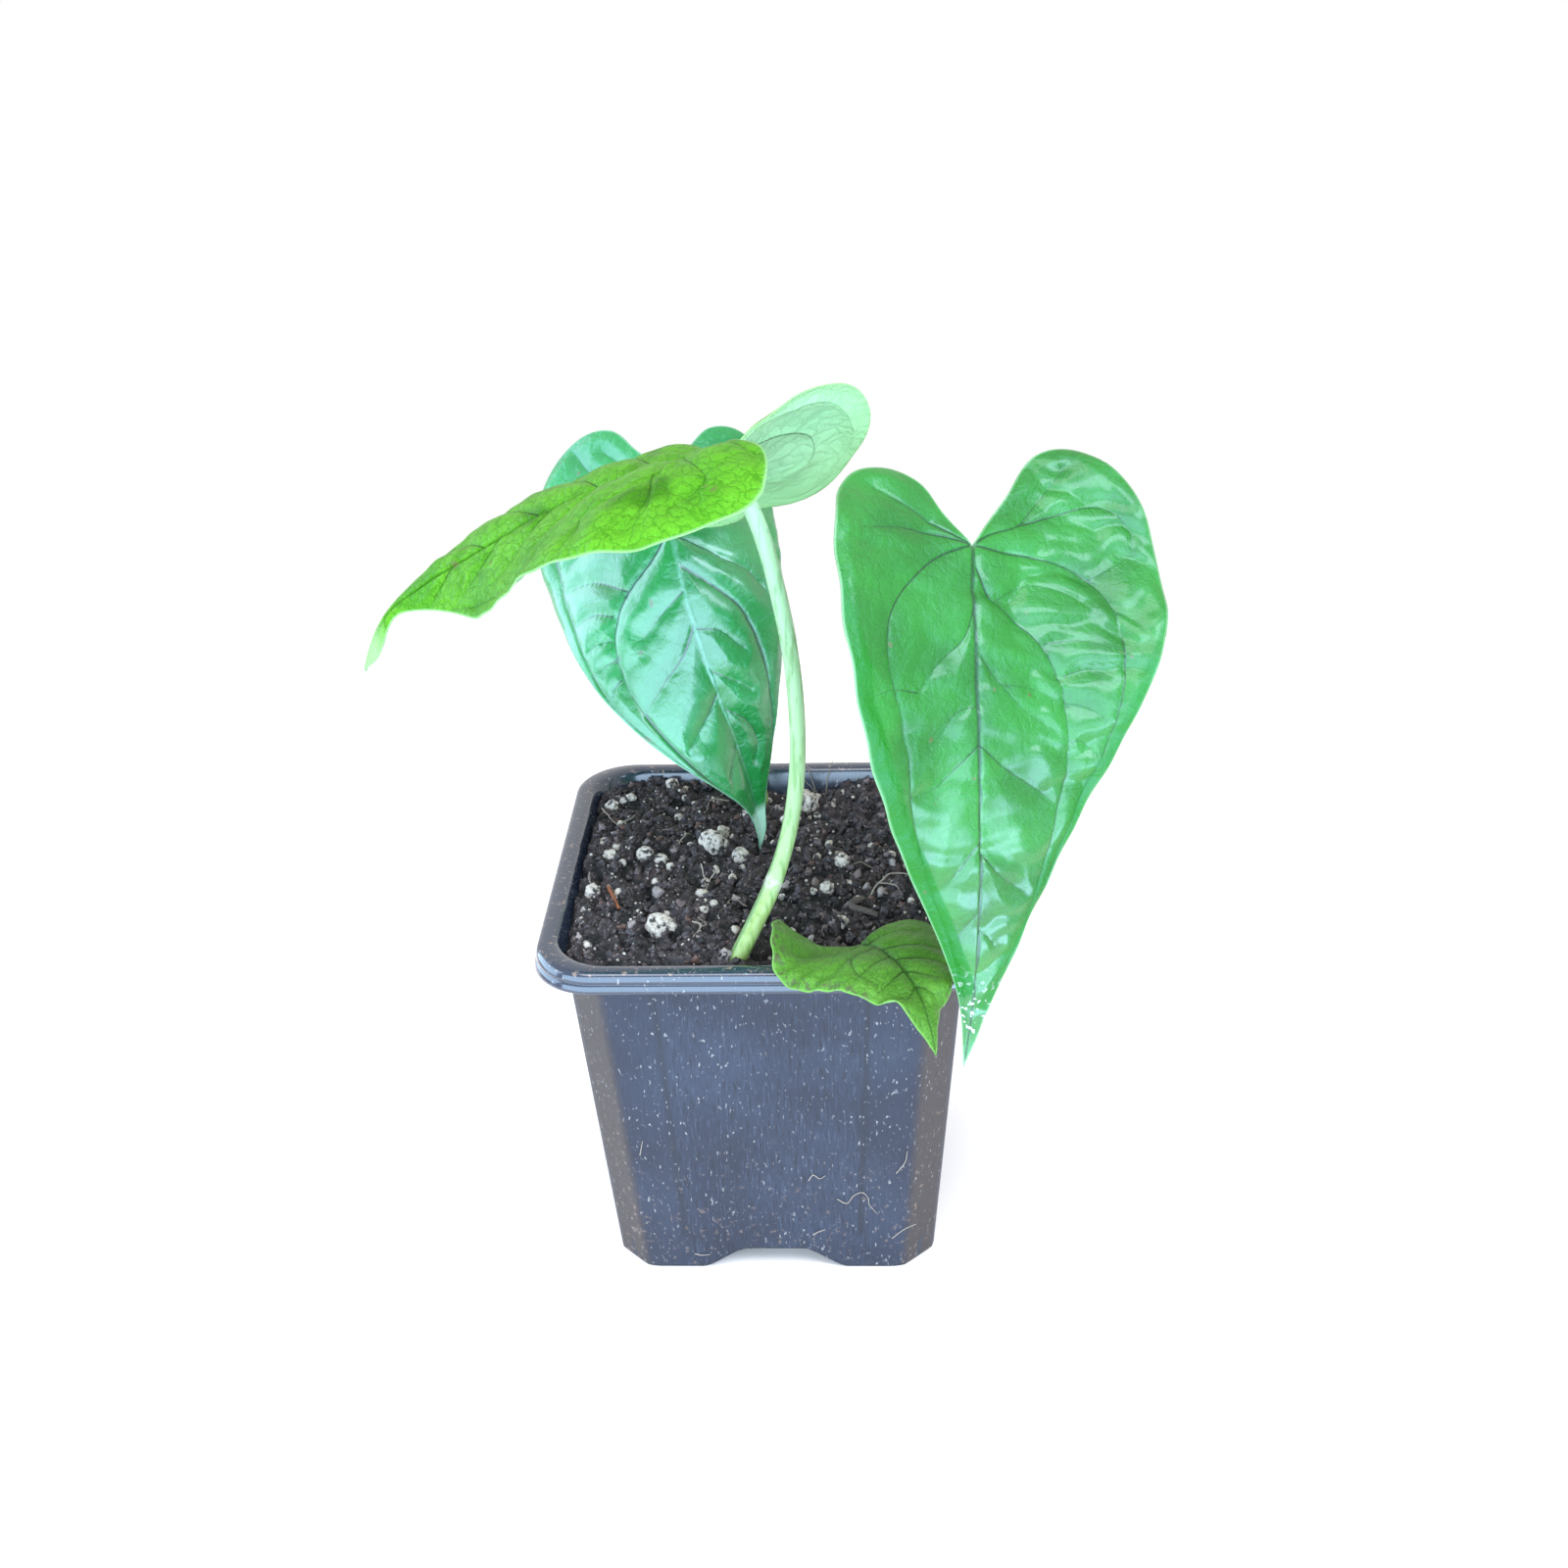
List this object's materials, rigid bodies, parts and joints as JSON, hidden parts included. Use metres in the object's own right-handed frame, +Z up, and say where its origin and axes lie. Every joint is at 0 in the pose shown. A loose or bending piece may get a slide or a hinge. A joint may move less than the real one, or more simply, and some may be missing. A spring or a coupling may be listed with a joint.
{
  "type": "potted monstera membranacea",
  "caption": "Young aroid plant with heart-shaped hanging leaves on pale petioles, in a square tapered nursery pot filled with perlite soil.",
  "frame": {"origin": "under the middle of the bounding box, on the plane that the pot's four feet stand on", "axes": "+Z up, +X to the right and -Y towards the front, with the pot's walls square to X and Y"},
  "size_m": [0.1556, 0.1064, 0.1858],
  "materials": {
    "pot": "satin moulded polypropylene, dusty",
    "soil": "moist peat crumbs with white perlite",
    "leaf_right": "glossy leaf",
    "leaf_back": "glossy leaf, deeper green",
    "leaf_high": "satin young leaf, yellow-green",
    "leaf_rim": "satin leaf",
    "petiole": "smooth pale green petiole"
  },
  "bodies": {
    "root": {"pot": "pot", "soil": "soil", "leaf_right": "leaf_right", "leaf_back": "leaf_back", "leaf_high": "leaf_high", "leaf_rim": "leaf_rim", "stem_high": "petiole", "stem_right": "petiole", "stem_back": "petiole", "stem_rim": "petiole"}
  },
  "joints": []
}
